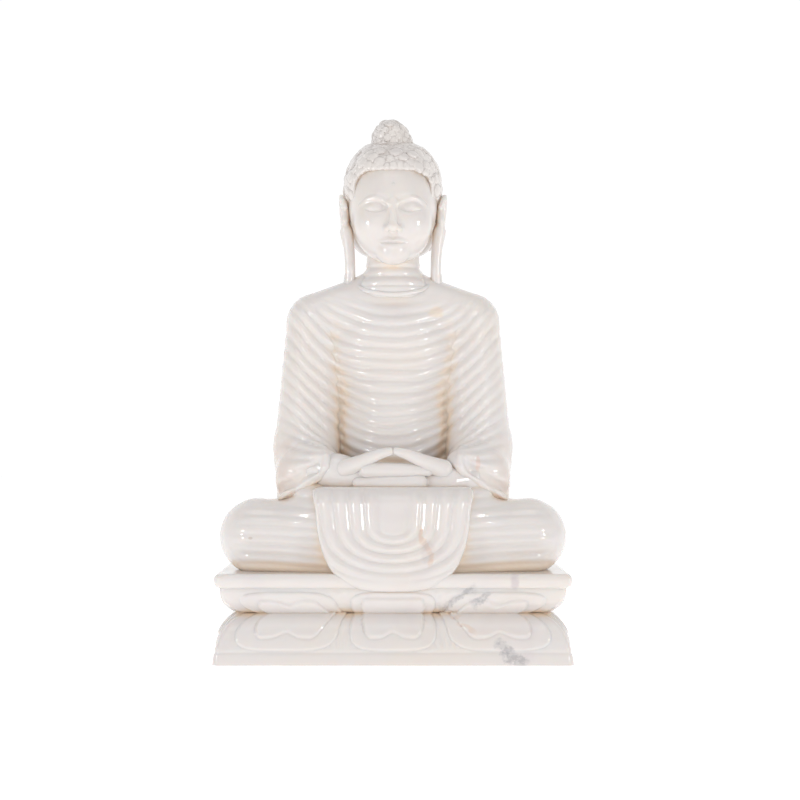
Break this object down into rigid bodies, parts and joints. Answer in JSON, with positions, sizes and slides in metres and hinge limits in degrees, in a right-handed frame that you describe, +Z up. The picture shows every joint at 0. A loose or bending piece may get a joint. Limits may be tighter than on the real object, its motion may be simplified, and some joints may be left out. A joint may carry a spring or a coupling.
{
  "type": "buddha statue",
  "caption": "Carved marble buddha seated in meditation on a tiered lotus pedestal, with a ridged robe, a lap drape, curled hair and a topknot.",
  "frame": {"origin": "middle of the pedestal's underside", "axes": "+Z up, the figure faces -Y, its own right side is towards -X"},
  "size_m": [0.2952, 0.1832, 0.457],
  "materials": {
    "marble": "polished"
  },
  "bodies": {
    "root": {"hair_cap": "marble", "head": "marble", "lap_drape": "marble", "left_ear": "marble", "left_hand": "marble", "left_leg": "marble", "left_sleeve": "marble", "left_thumb": "marble", "lower_lotus_tier": "marble", "lower_petals": "marble", "neck": "marble", "right_ear": "marble", "right_hand": "marble", "right_leg": "marble", "right_sleeve": "marble", "right_thumb": "marble", "robe_collar": "marble", "robed_torso": "marble", "seat_slab": "marble", "topknot": "marble", "upper_lotus_tier": "marble", "upper_petals": "marble", "urna": "marble"}
  },
  "joints": []
}
